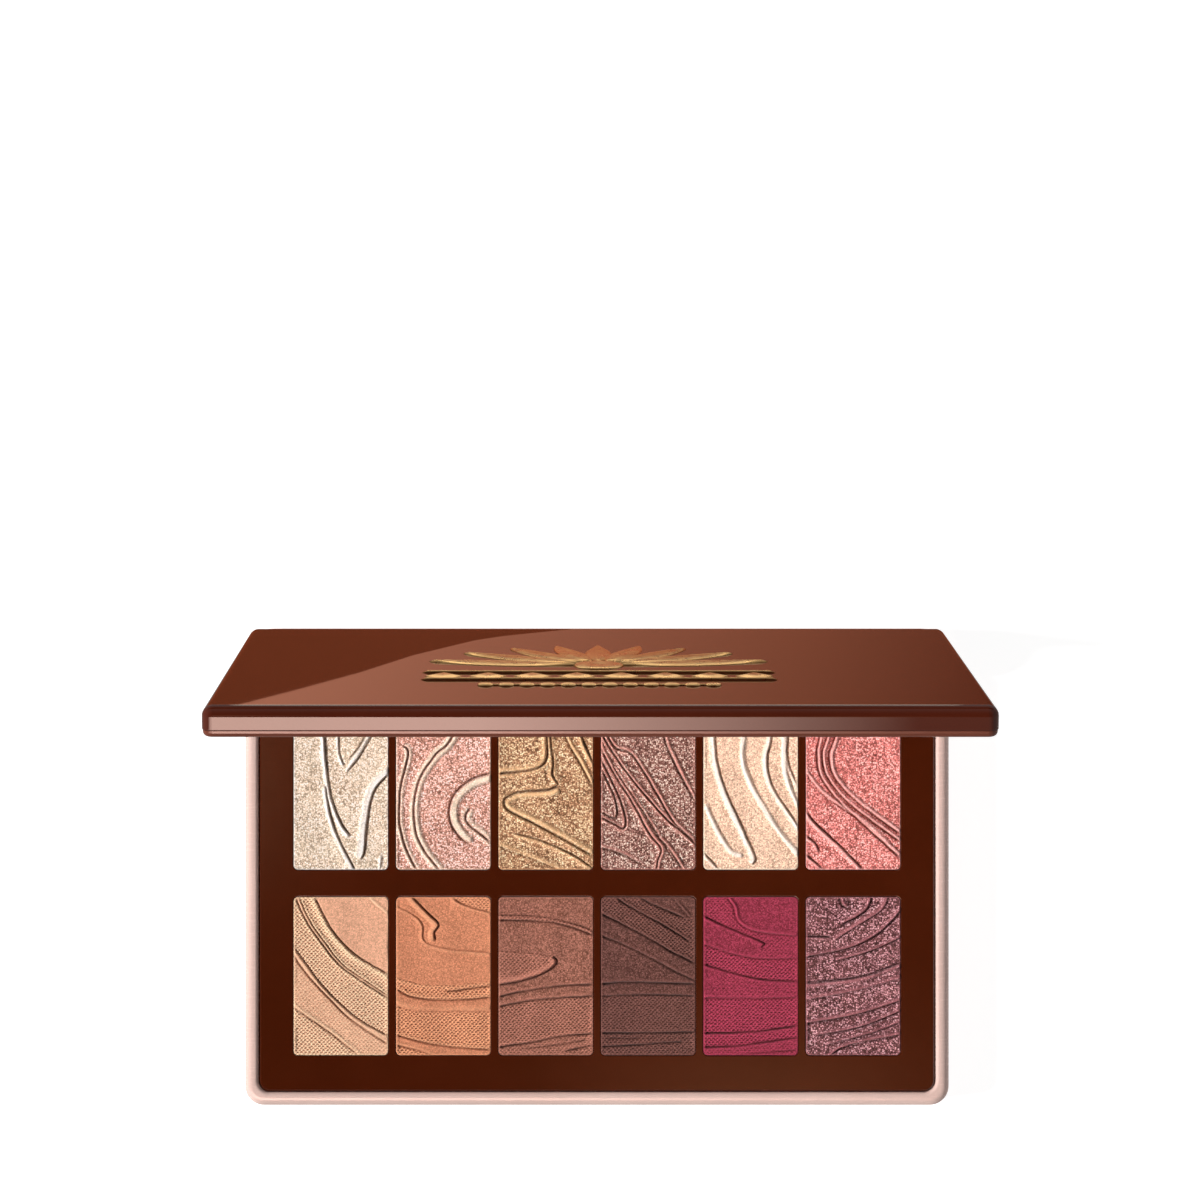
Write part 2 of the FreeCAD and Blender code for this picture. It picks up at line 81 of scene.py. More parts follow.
class Paint:
    """A material with short calls for the node work that most of them share."""

    def __init__(self, name, **values):
        self.mat = bpy.data.materials.new(name)
        self.mat.use_nodes = True
        self.nodes, self.links = self.mat.node_tree.nodes, self.mat.node_tree.links
        self.shader = self.nodes["Principled BSDF"]
        for key, value in values.items():
            self.shader.inputs[key.replace("_", " ")].default_value = value
        self.place = self.nodes.new("ShaderNodeTexCoord").outputs["Object"]

    def link(self, a, b):
        self.links.new(a, b)
        return self

    def stretched(self, scale):
        node = self.nodes.new("ShaderNodeMapping")
        node.inputs["Scale"].default_value = scale
        self.link(self.place, node.inputs["Vector"])
        return node.outputs["Vector"]

    def noise(self, scale, detail=3.0, rough=0.55, vector=None):
        node = self.nodes.new("ShaderNodeTexNoise")
        node.inputs["Scale"].default_value = scale
        node.inputs["Detail"].default_value = detail
        node.inputs["Roughness"].default_value = rough
        self.link(vector or self.place, node.inputs["Vector"])
        return node.outputs["Fac"]

    def cells(self, scale, output="Color", feature="F1", vector=None, jitter=1.0):
        node = self.nodes.new("ShaderNodeTexVoronoi")
        node.feature = feature
        node.inputs["Scale"].default_value = scale
        node.inputs["Randomness"].default_value = jitter
        self.link(vector or self.place, node.inputs["Vector"])
        return node.outputs[output]

    def attribute(self, name, output="Fac"):
        node = self.nodes.new("ShaderNodeAttribute")
        node.attribute_name = name
        return node.outputs[output]

    def remap(self, value, low, high, to_low, to_high):
        node = self.nodes.new("ShaderNodeMapRange")
        for key, number in zip(("From Min", "From Max", "To Min", "To Max"), (low, high, to_low, to_high)):
            node.inputs[key].default_value = number
        self.link(value, node.inputs["Value"])
        return node.outputs["Result"]

    def math(self, kind, a, b):
        node = self.nodes.new("ShaderNodeMath")
        node.operation = kind
        for socket, item in zip(node.inputs, (a, b)):
            if isinstance(item, (int, float)):
                socket.default_value = item
            else:
                self.link(item, socket)
        return node.outputs["Value"]

    def ramp(self, value, stops):
        node = self.nodes.new("ShaderNodeValToRGB")
        points = node.color_ramp.elements
        while len(points) < len(stops):
            points.new(0.5)
        for point, (where, colour) in zip(points, stops):
            point.position, point.color = where, colour
        self.link(value, node.inputs["Fac"])
        return node.outputs["Color"]

    def mix(self, factor, a, b, kind="MIX"):
        node = self.nodes.new("ShaderNodeMix")
        node.data_type, node.blend_type = "RGBA", kind
        if isinstance(factor, (int, float)):
            node.inputs[0].default_value = factor
        else:
            self.link(factor, node.inputs[0])
        for socket, item in zip((node.inputs[6], node.inputs[7]), (a, b)):
            if isinstance(item, tuple):
                socket.default_value = item
            else:
                self.link(item, socket)
        return node.outputs[2]

    def bump(self, layers):
        """Bump from (height, strength, distance) layers, one over the other."""
        normal = None
        for height, strength, distance in layers:
            node = self.nodes.new("ShaderNodeBump")
            node.inputs["Strength"].default_value = strength
            node.inputs["Distance"].default_value = distance
            self.link(height, node.inputs["Height"])
            if normal is not None:
                self.link(normal, node.inputs["Normal"])
            normal = node.outputs["Normal"]
        return self.link(normal, self.shader.inputs["Normal"])

    def colour(self, socket):
        return self.link(socket, self.shader.inputs["Base Color"])

    def roughness(self, socket):
        return self.link(socket, self.shader.inputs["Roughness"])


def moulded(name, colour, lighter, rough, coat=0.0, grain=0.35, ior=1.5, specks=0.03):
    """Glossy injection-moulded plastic: cloudy pigment, fine specks, slight orange peel and hairline rubs."""
    paint = Paint(name, Coat_Weight=coat, Coat_Roughness=0.04, IOR=ior)
    cloud = paint.noise(55, 4, 0.6)
    base = paint.ramp(cloud, [(0.3, colour), (0.72, lighter)])
    dust = paint.remap(paint.noise(5200, 2, 0.5), 0.35, 0.68, 1 - specks, 1 + specks)
    dust_colour = paint.nodes.new("ShaderNodeCombineColor")
    for socket in dust_colour.inputs[:3]:
        paint.link(dust, socket)
    paint.colour(paint.mix(1.0, base, dust_colour.outputs["Color"], "MULTIPLY"))
    rubs = paint.noise(1.0, 6, 0.7, paint.stretched((260, 2600, 900)))
    paint.roughness(paint.remap(rubs, 0.3, 0.8, rough * 0.8, rough * 1.45))
    paint.bump([(paint.noise(420, 2, 0.5), grain, 0.00002), (paint.noise(2600, 2, 0.5), grain * 0.5,
                                                             0.000006)])
    return paint.mat


def metal(name, colour, rough, stretch, grain=0.2, tint=None):
    """Worked metal: directional brush marks with patchy tone."""
    paint = Paint(name, Metallic=1.0)
    marks = paint.noise(1.0, 5, 0.65, paint.stretched(stretch))
    tone = paint.noise(180, 3, 0.5)
    paint.colour(paint.ramp(paint.math("ADD", paint.math("MULTIPLY", marks, 0.5),
                                       paint.math("MULTIPLY", tone, 0.5)),
                            [(0.3, tint or shade(colour, 0.82)), (0.7, colour)]))
    paint.roughness(paint.remap(marks, 0.25, 0.75, rough * 0.7, rough * 1.4))
    paint.bump([(marks, grain, 0.00001)])
    return paint.mat


def pressed(name, colour, grain_and_glint_spread, flaky):
    """Pressed powder: grains of scattered brightness, with painted glints at their bright end if flaky; pebbled
    bands with painted shade in their hollows and painted highlight on their tops; painted shade along the grooves;
    painted highlight on ridge crests and along the edge; and, if flaky, metallic glints.
    """
    paint = Paint(name, Sheen_Weight=0.1, Sheen_Roughness=0.5, IOR=1.4)
    flake = paint.nodes.new("ShaderNodeSeparateColor")
    pitch = 3500 if flaky else 3900
    paint.link(paint.cells(pitch, "Color", jitter=0.8), flake.inputs["Color"])
    bead = paint.remap(paint.cells(pitch, "Distance", jitter=0.8), 0.08, 0.72, 1.0, 0.0)
    grain = paint.math("ADD", paint.math("MULTIPLY", bead, 0.55),
                       paint.math("MULTIPLY", flake.outputs["Red"], 0.45))
    # Grain brightness varies at random; for the glinting powders its bright end is painted glints.
    steps = [(0.0, -2.0), (0.25, -0.95), (0.5, 0.0), (0.75, 0.62), (1.0, 1.15)]
    body = paint.ramp(grain, [(at, shade(colour, math.exp(grain_and_glint_spread * much))) for at, much in steps])
    tone = paint.noise(170, 3, 0.6)
    body = paint.mix(paint.remap(tone, 0.3, 0.7, 0.0, 0.2), body, shade(colour, 1.15))
    dust = paint.noise(5200, 2, 0.6)
    body = paint.mix(paint.remap(dust, 0.42, 0.7, 0.0, 0.25), body, shade(colour, 0.6))
    # Painted shade in the pebbles' hollows and painted highlight on their tops.
    pebble_shade_and_highlight = paint.attribute("pebble")
    body = paint.mix(paint.remap(pebble_shade_and_highlight, 0.0, 0.75, 0.0, 1.0), body, shade(colour, 0.17))
    body = paint.mix(paint.remap(pebble_shade_and_highlight, -0.25, 0.0, 0.85, 0.0), body, shade(colour, 1.9))
    # Painted highlight on the ridges' crests.
    body = paint.mix(paint.math("MULTIPLY", paint.attribute("crest_highlight"), 0.8 if flaky else 0.55), body,
                     shade(colour, 2.0))
    # Painted shade along the grooves.
    body = paint.mix(paint.math("MULTIPLY", paint.attribute("groove_shade"), 1.0), body, shade(colour, 0.08))
    # Painted highlight along the powder's edge.
    body = paint.mix(paint.math("MULTIPLY", paint.attribute("edge_highlight"), 0.45), body, shade(colour, 1.7))
    paint.colour(body)
    if flaky:
        paint.link(paint.remap(flake.outputs["Blue"], 0.45, 1.0, 0.0, 0.15), paint.shader.inputs["Metallic"])
        paint.roughness(paint.remap(flake.outputs["Red"], 0.0, 1.0, 0.6, 0.3))
    else:
        paint.roughness(paint.remap(dust, 0.3, 0.7, 0.7, 0.9))
    paint.bump([(dust, 0.4, 0.00003), (flake.outputs["Blue"], min(1.0, 0.8 * grain_and_glint_spread), 0.00006)])
    return paint.mat


PINK = moulded("pink_gloss", srgb(210, 180, 171), srgb(217, 189, 181), 0.24, coat=0.15, grain=0.25)
TRAY = moulded("brown_tray_gloss", srgb(62, 20, 4), srgb(69, 24, 7), 0.09, grain=0.12, specks=0.08)
LID = moulded("brown_lid_gloss", srgb(71, 26, 14), srgb(77, 29, 16), 0.025, grain=0.03, specks=0.06)
FRAME = moulded("brown_frame_gloss", srgb(98, 48, 33), srgb(104, 52, 36), 0.12, grain=0.1, specks=0.06)
GOLD = metal("gold_trim", srgb(248, 208, 146), 0.30, (500, 500, 500), tint=srgb(226, 176, 112))
STEEL = metal("pin_steel", srgb(196, 196, 198), 0.3, (300, 4200, 4200))
PAN = metal("pan_tin", srgb(205, 203, 199), 0.34, (2400, 260, 260))
MAGNET = metal("magnet_nickel", srgb(214, 214, 216), 0.16, (900, 900, 900))


def silvered():
    paint = Paint("silvered_glass", Metallic=1.0, Coat_Weight=1.0, Coat_Roughness=0.0)
    haze = paint.noise(90, 4, 0.6)
    paint.colour(paint.ramp(haze, [(0.3, srgb(230, 233, 234)), (0.7, srgb(234, 237, 238))]))
    paint.roughness(paint.remap(paint.noise(700, 3, 0.6), 0.3, 0.8, 0.004, 0.02))
    return paint.mat


def sticky(name, colour):
    paint = Paint(name, IOR=1.45)
    paint.colour(paint.ramp(paint.noise(600, 4, 0.6), [(0.3, colour), (0.7, shade(colour, 0.85))]))
    paint.roughness(paint.remap(paint.noise(900, 3, 0.6), 0.3, 0.7, 0.35, 0.6))
    paint.bump([(paint.noise(1200, 3, 0.6), 0.4, 0.00003)])
    return paint.mat


MIRROR = silvered()
GLUE = sticky("adhesive_film", srgb(206, 200, 184))

# Each powder's name, colour, how much its grains differ in brightness (for the glinting ones the bright end is
# painted glints), and whether it glints.
POWDERS = {
    "front": [("beige", (229, 174, 144), 0.3, False), ("tan", (208, 138, 105), 0.36, False),
              ("taupe", (155, 103, 88), 0.75, False), ("umber", (105, 69, 63), 0.9, False),
              ("berry", (150, 53, 75), 0.65, False), ("plum", (136, 84, 89), 2.9, True)],
    "rear": [("ivory", (251, 228, 204), 1.0, True), ("rose", (243, 180, 162), 1.7, True),
             ("gold", (206, 155, 117), 2.1, True), ("mauve", (171, 119, 110), 2.6, True),
             ("peach", (249, 209, 184), 0.60, True), ("coral", (252, 143, 139), 1.7, True)],
}
POWDER_PAINT = {}
for row in POWDERS.values():
    for shade_name, display, grain_and_glint_spread, flaky in row:
        POWDER_PAINT[shade_name] = pressed("powder_" + shade_name, srgb(*display), grain_and_glint_spread, flaky)

SLOT_PAINT = {"pink_shell": PINK, "brown_tray": TRAY, "brown_lid": LID, "brown_frame": FRAME,
              "gold_trim": GOLD,
              "pan_metal": PAN, "steel": STEEL, "magnet_metal": MAGNET, "mirror_silver": MIRROR, "glue": GLUE}
SLOT_PAINT.update({"powder_" + name: paint for name, paint in POWDER_PAINT.items()})
for part in frame["record"]["subparts"]:
    node = NODES[part["node"]]
    node.data.materials.clear()
    node.data.materials.append(SLOT_PAINT[part["material_slot"]])


# ------------------------------------------------------------------ mesh helpers
def solid(name, verts, faces, material, body, replaced=(), smooth=True):
    mesh = bpy.data.meshes.new(name)
    mesh.from_pydata([tuple(v) for v in verts], [], faces)
    mesh.materials.append(material)
    work = bmesh.new()
    work.from_mesh(mesh)
    bmesh.ops.recalc_face_normals(work, faces=work.faces)
    work.to_mesh(mesh)
    work.free()
    mesh.polygons.foreach_set("use_smooth", [smooth] * len(mesh.polygons))
    obj = bpy.data.objects.new(name, mesh)
    bpy.context.scene.collection.objects.link(obj)
    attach(obj, body)
    if replaced:
        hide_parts(*replaced)
    return obj


# ------------------------------------------------------------------ pressed powders with a marbled relief
# Each stroke is a line in shares of a pan's width and length, then in mm: the depth of its groove, the
# height of a ridge to the left of its direction and of one to the right, and how wide those ridges are.
STROKES = {
    ("rear", 1): [([(.33, 1.1), (.33, .82), (.345, .68), (.395, .47), (.5, .297), (.605, .21)], .18, .0, .20,
                   .50),
                  ([(.335, .55), (.383, .36), (.468, .21), (.585, .07), (.72, -.08)], .18, .0, .20, .45),
                  ([(.478, 1.1), (.478, .80), (.50, .71), (.535, .655)], .12, .0, .14, .35),
                  ([(.56, .61), (.68, .70), (.82, .84), (1.05, 1.1)], .14, .16, .0, .40),
                  ([(.58, .69), (.70, .78), (.80, .90), (.95, 1.1)], .14, .0, .10, .35),
                  ([(1.1, .64), (.99, .59), (.883, .525), (.82, .436), (.777, .284), (.751, .12),
                    (.715, .06)],
                   .24, .0, .36, .85),
                  ([(.94, .11), (.905, -.08)], .0, .0, .14, .35)],
    ("rear", 2): [([(.07, .785), (.126, .75), (.10, .65), (.048, .525), (.03, .335), (.06, .21), (.13, .095),
                    (.25, -.04)], .24, .10, .14, .40),
                  ([(.80, 1.1), (.574, .82), (.416, .727), (.27, .60), (.206, .487), (.185, .36), (.216, .22),
                    (.31, .107), (.50, -.03)], .12, .16, .18, .50),
                  ([(1.1, .62), (.99, .61), (.836, .58), (.69, .525), (.595, .45), (.559, .36), (.595, .27),
                    (.69, .196), (.80, .15)], .24, .30, .0, .75),
                  ([(.80, .40), (.735, .341), (.773, .284), (.9, .22), (1.05, .15)], .16, .12, .08, .55)],
    ("rear", 3): [([(-.1, .60), (.03, .607), (.245, .62), (.438, .648), (.513, .71), (.513, .84), (.50, 1.1)],
                   .22, .16, .10, .55),
                  ([(.53, 1.1), (.55, .82), (.577, .68), (.57, .60), (.64, .53)], .18, .06, .14, .40),
                  ([(.64, .53), (.52, .506), (.246, .493), (.096, .46), (.058, .425), (.107, .373),
                    (.353, .297),
                    (.673, .196), (1.1, .05)], .20, .20, .06, .60),
                  ([(.60, 1.1), (.716, .83), (.844, .69), (1.05, .46)], .16, .20, .0, .40),
                  ([(.80, 1.1), (.887, .83), (1.05, .62)], .20, .0, .22, .45),
                  ([(.139, .234), (.46, .183), (.78, .095), (1.05, -.01)], .14, .0, .12, .50),
                  ([(-.1, .17), (.2, .10), (.5, .03), (.8, -.06)], .08, .10, .0, .50)],
    ("rear", 4): [([(-.06, .84), (.013, .746), (.144, .60), (.334, .42), (.503, .234), (.63, .133),
                    (.60, .05),
                    (.57, -.05)], .14, .20, .16, .35),
                  ([(-.03, .90), (.07, .79), (.228, .65), (.46, .474), (.693, .32), (.84, .246), (1.08, .12)],
                   .20, .16, .16, .32),
                  ([(.02, .90), (.144, .775), (.30, .74), (.419, .65), (.609, .46), (.757, .31), (.968, .19),
                    (1.1, .12)], .20, .18, .08, .35),
                  ([(.60, 1.1), (.672, .83), (.757, .70), (.884, .55), (1.08, .34)], .18, .20, .0, .40),
                  ([(-.1, .80), (.013, .675), (.12, .55), (.215, .42), (.26, .31), (.235, .26), (.14, .29),
                    (-.1, .36)], .24, .10, .14, .32),
                  ([(-.1, .74), (.08, .54), (.16, .42), (.165, .345), (.12, .33), (-.1, .40)], .22, .0, .10,
                   .30),
                  ([(-.1, .145), (.017, .133), (.228, .095), (.46, .02)], .14, .10, .0, .40),
                  ([(.60, .20), (.693, .15), (.80, .057), (.93, -.06)], .16, .18, .0, .35),
                  ([(.12, .66), (.33, .47), (.55, .27), (.78, .05)], .10, .10, .0, .30)],
    ("rear", 5): [([(.127, 1.1), (.127, .82), (.159, .65), (.254, .474), (.391, .297), (.507, .145),
                    (.554, .07),
                    (.52, .03)], .13, .0, .20, .65),
                  ([(.40, 1.1), (.38, .82), (.38, .676), (.486, .5), (.676, .31), (.846, .17), (1.1, .0)],
                   .0, .24, .0, .55),
                  ([(.76, 1.1), (.719, .82), (.677, .714), (.698, .588), (.80, .46), (1.1, .20)], .13, .0,
                   .18, .55),
                  ([(.80, 1.1), (.814, .82), (.825, .626), (.92, .46), (1.1, .25)], .0, .24, .0, .50),
                  ([(.95, 1.1), (.90, .84), (.90, .68), (1.1, .40)], .12, .0, .12, .45),
                  ([(-.02, .42), (.053, .31), (.148, .196), (.275, .095), (.42, .065)], .0, .26, .0, .50),
                  ([(-.1, .19), (.006, .107), (.148, .013), (.2, -.06)], .14, .0, .10, .45)],
    ("rear", 6): [([(.42, 1.1), (.298, .82), (.245, .727), (.287, .60), (.457, .474), (.713, .348),
                    (1.1, .18)],
                   .18, .20, .0, .38),
                  ([(.33, 1.1), (.213, .82), (.17, .727), (.213, .60), (.383, .461), (.63, .335), (1.1, .13)],
                   .18, .18, .0, .32),
                  ([(.25, 1.1), (.138, .82), (.117, .727), (.149, .60), (.319, .449), (.585, .297),
                    (1.1, .02)],
                   .18, .18, .0, .32),
                  ([(-.1, .70), (.01, .60), (.18, .474), (.457, .36), (.713, .247), (.99, .07), (1.1, .0)],
                   .08, .18, .0, .35),
                  ([(-.1, .46), (0, .367), (.138, .272), (.372, .145), (.62, -.01), (.7, -.06)], .24, .0,
                   .22, .55),
                  ([(-.1, .25), (.006, .21), (.096, .17), (.155, .10)], .22, .0, .16, .40),
                  ([(-.1, .15), (0, .095), (.18, .006), (.28, -.06)], .22, .0, .14, .40)],
    ("front", 1): [([(-.04, 1.1), (.017, .994), (.156, .825), (.306, .70), (.476, .575), (.733, .4625),
                     (1.1, .32)],
                    .16, .0, .10, .30),
                   ([(-.01, 1.1), (.06, .994), (.185, .835), (.335, .71), (.50, .585), (.75, .475),
                     (1.1, .335)],
                    .12, .10, .10, .28),
                   ([(.17, 1.1), (.23, .994), (.41, .79), (.626, .65), (.818, .575), (1.1, .48)], .17, .0,
                    .14, .70),
                   ([(-.1, .80), (0, .6875), (.135, .575), (.306, .4375), (.52, .3125), (.733, .2125),
                     (1.1, .09)],
                    .12, .0, .10, .35),
                   ([(-.1, .74), (.006, .625), (.156, .50), (.37, .3625), (.583, .2375), (.82, .1375),
                     (1.1, .03)],
                    .16, .08, .0, .35),
                   ([(-.1, .37), (.006, .30), (.306, .175), (.605, .0375), (.78, -.06)], .13, .08, .0, .40),
                   ([(.68, 1.1), (.797, .9875), (1.1, .83)], .03, .10, .0, .35)],
    ("front", 2): [([(.08, 1.1), (.185, .994), (.332, .90), (.447, .83), (.405, .775), (.416, .72)],
                    .26, .0, .26, .60),
                   ([(-.1, .98), (.017, .94), (.185, .89), (.28, .825), (.29, .7375), (.374, .70),
                     (.605, .67),
                     (1.1, .648)], .07, .0, .08, .40),
                   ([(.50, 1.1), (.616, .99), (.794, .9375), (1.1, .89)], .11, .0, .08, .40),
                   ([(.52, .40), (.71, .4125), (1.1, .445)], .17, .08, .0, .35),
                   ([(-.1, .46), (.017, .4125), (.164, .369), (.395, .35), (.71, .35), (1.1, .37)],
                    .16, .12, .0, .40),
                   ([(-.1, .34), (0, .3125), (.29, .275), (1.1, .275)], .04, .08, .0, .60),
                   ([(-.1, .16), (.017, .125), (.29, .08), (.605, .05), (1.1, .03)], .15, .10, .0, .35),
                   ([(-.1, .09), (0, .0625), (.29, .02), (.6, -.06)], .12, .08, .0, .35),
                   ([(-.1, .52), (0, .49), (.29, .45), (.605, .445), (1.1, .47)], .03, .0, .08, .50)],
    ("front", 3): [([(-.1, .85), (.006, .8525), (.366, .8475), (.683, .825), (1.1, .735)], .16, .10, .0, .35),
                   ([(-.1, .89), (0, .885), (.366, .88), (.683, .85), (1.1, .77)], .10, .0, .06, .30),
                   ([(-.1, .43), (0, .444), (.26, .469), (.47, .5125), (.598, .5625), (.618, .60),
                     (.57, .63)],
                    .24, .22, .0, .60),
                   ([(-.1, .36), (0, .369), (.30, .406), (.68, .4375), (1.1, .45)], .18, .10, .0, .35),
                   ([(-.1, .295), (0, .306), (.366, .344), (.683, .3625), (1.1, .375)], .16, .10, .0, .40),
                   ([(-.1, .04), (0, .05), (.366, .081), (.683, .119), (1.1, .14)], .17, .10, .0, .35),
                   ([(.68, .02), (1.1, .075)], .17, .08, .0, .35),
                   ([(-.1, .665), (0, .6625), (.26, .65), (.57, .63)], .05, .0, .06, .45),
                   ([(.22, .035), (.70, .07), (.95, .10)], .10, .06, .0, .30)],
    ("front", 4): [([(-.1, .935), (.006, .894), (.236, .825), (.55, .725), (.76, .65), (1.1, .55)],
                    .18, .10, .0, .35),
                   ([(.02, 1.1), (.184, .9875), (.383, .9125), (.655, .825), (.97, .705)], .19, .12, .0, .30),
                   ([(.25, 1.1), (.425, .994), (.655, .925), (.906, .8625)], .17, .10, .0, .35),
                   ([(-.1, .80), (.006, .756), (.278, .6875), (.55, .606), (.80, .525), (1.1, .44)],
                    .13, .08, .0, .40),
                   ([(-.1, .445), (.006, .45), (.30, .46), (.655, .454), (1.1, .448)], .25, .14, .0, .40),
                   ([(-.1, .368), (.006, .371), (.45, .381), (1.1, .373)], .15, .08, .0, .35),
                   ([(-.1, .14), (.45, .14), (1.1, .146)], .22, .10, .0, .35),
                   ([(-.1, .052), (.34, .0625), (.76, .081), (.87, .082)], .20, .10, .0, .30),
                   ([(.04, .107), (.44, .106)], .12, .06, .0, .30),
                   ([(.66, 1.1), (.76, .994), (.95, .86)], .05, .12, .0, .28)],
    ("front", 5): [([(.20, 1.1), (.255, .994), (.318, .9375), (.339, .875), (.40, .825), (.506, .79),
                     (.69, .768),
                     (1.1, .745)], .09, .16, .0, .35),
                   ([(-.1, .925), (.004, .88), (.318, .794), (.61, .719), (.645, .70), (.60, .68)],
                    .16, .0, .08, .40),
                   ([(-.1, .735), (.004, .70), (.213, .656), (.36, .63), (.63, .606), (1.1, .612)],
                    .10, .08, .0, .35),
                   ([(-.1, .605), (.004, .575), (.318, .519), (.63, .48), (1.1, .463)], .16, .0, .08, .35),
                   ([(-.1, .36), (.52, .356), (1.1, .364)], .10, .08, .0, .40),
                   ([(-.1, .138), (.42, .144), (.735, .1625), (1.1, .195)], .20, .0, .10, .40),
                   ([(-.1, .05), (.318, .056), (.63, .08), (1.1, .12)], .16, .0, .08, .40),
                   ([(.30, .0), (1.1, .036)], .10, .06, .0, .30)],
    ("front", 6): [([(.36, 1.1), (.365, .97), (.44, .92)], .24, .16, .0, .40),
                   ([(.74, 1.1), (.665, .94), (.53, .87), (.37, .825)], .30, .0, .16, .45),
                   ([(.93, 1.1), (.82, .93), (.62, .845), (.42, .77), (.30, .72)], .06, .0, .34, .55),
                   ([(1.1, .98), (.9, .84), (.7, .74), (.4, .665), (-.1, .61)], .24, .0, .16, .45),
                   ([(1.1, .77), (.7, .66), (.3, .59)], .15, .0, .16, .35),
                   ([(1.1, .61), (.6, .50), (-.1, .45)], .16, .16, .0, .40),
                   ([(1.1, .36), (.5, .25), (-.1, .19)], .26, .0, .20, .45),
                   ([(1.1, .30), (.6, .18), (.1, .12)], .22, .0, .16, .40),
                   ([(1.1, .14), (.4, .05), (.2, -.06)], .14, .0, .18, .40),
                   ([(-.1, .755), (.3, .745)], .22, .0, .14, .35),
                   ([(1.1, .50), (.5, .40), (-.1, .34)], .06, .0, .14, .50),
                   ([(1.1, .23), (.7, .14), (.2, .06)], .12, .0, .14, .35)],
}
# Bands with a pebbled surface, each above one stroke and below another, by their places in the list above.
PEBBLES = {
    ("front", 1): [(3, 0), (None, 5), (1, 2, 1.0), (5, 4, .45)],
    ("front", 2): [(6, 5), (4, 8), (2, None, .7), (None, 7)],
    ("front", 3): [(5, 4), (0, 1), (3, None, .0), (None, 5, .7), (2, 7, .8)],
    ("front", 4): [(6, 5), (0, 1), (1, 2), (7, 6), (None, 7)],
    ("front", 5): [(5, 4), (3, 2), (6, 5), (1, 0, .6)],
}
CORNER = 0.8             # mm, the powder's corners, which lie on the pan's rim
INNER_CORNER = 0.45      # mm, inside the pan
RIM_COVER = 0.03         # mm that the powder reaches past the pan's rim
EDGE_ROUND = 0.10        # mm
EDGE_HEIGHT = 0.10       # mm that the powder's edge stands above the pan's rim
HIGHEST = 0.42           # mm
DEEPEST = -0.40          # mm
RELIEF = {"rear": 2.5, "front": 2.4}
DEEPER = {("front", 6): 1.5}
PEBBLE_PITCH = 0.74      # mm
PEBBLE_DEPTH = 0.10      # mm
GRID = 0.115             # mm between the surface's points


def smooth_path(points, steps=14):
    """A Catmull-Rom line through the points."""
    p = np.array([points[0]] + list(points) + [points[-1]], float)
    p[0], p[-1] = 2 * p[1] - p[2], 2 * p[-2] - p[-3]
    out = []
    for i in range(1, len(p) - 2):
        for t in np.linspace(0, 1, steps, endpoint=False):
            out.append(0.5 * ((2 * p[i]) + (p[i + 1] - p[i - 1]) * t
                              + (2 * p[i - 1] - 5 * p[i] + 4 * p[i + 1] - p[i + 2]) * t * t
                              + (3 * p[i] - p[i - 1] - 3 * p[i + 1] + p[i + 2]) * t ** 3))
    out.append(p[-2])
    return np.array(out)


def side_distance(x, y, path):
    """Signed distance in mm from each point to a path, positive to its left, and the share of its length."""
    best = np.full(x.shape, 1e9)
    sign = np.ones(x.shape)
    along = np.zeros(x.shape)
    count = len(path) - 1
    for i in range(count):
        ax, ay = path[i]
        bx, by = path[i + 1] - path[i]
        t = np.clip(((x - ax) * bx + (y - ay) * by) / (bx * bx + by * by), 0, 1)
        dx, dy = x - ax - t * bx, y - ay - t * by
        dist = np.hypot(dx, dy)
        near = dist < best
        best[near] = dist[near]
        sign[near] = np.where(bx * dy - by * dx >= 0, 1.0, -1.0)[near]
        along[near] = ((i + t) / count)[near]
    return best * sign, along


def wobble(x, y, seed, size):
    """A slow smooth waviness of about one unit, different for each seed."""
    rng = np.random.default_rng(seed)
    total = np.zeros(x.shape)
    for _ in range(6):
        angle, phase = rng.uniform(0, 2 * math.pi, 2)
        k = 2 * math.pi / (size * rng.uniform(0.7, 1.6))
        total += np.sin(k * (math.cos(angle) * x + math.sin(angle) * y) + phase)
    return total / 3


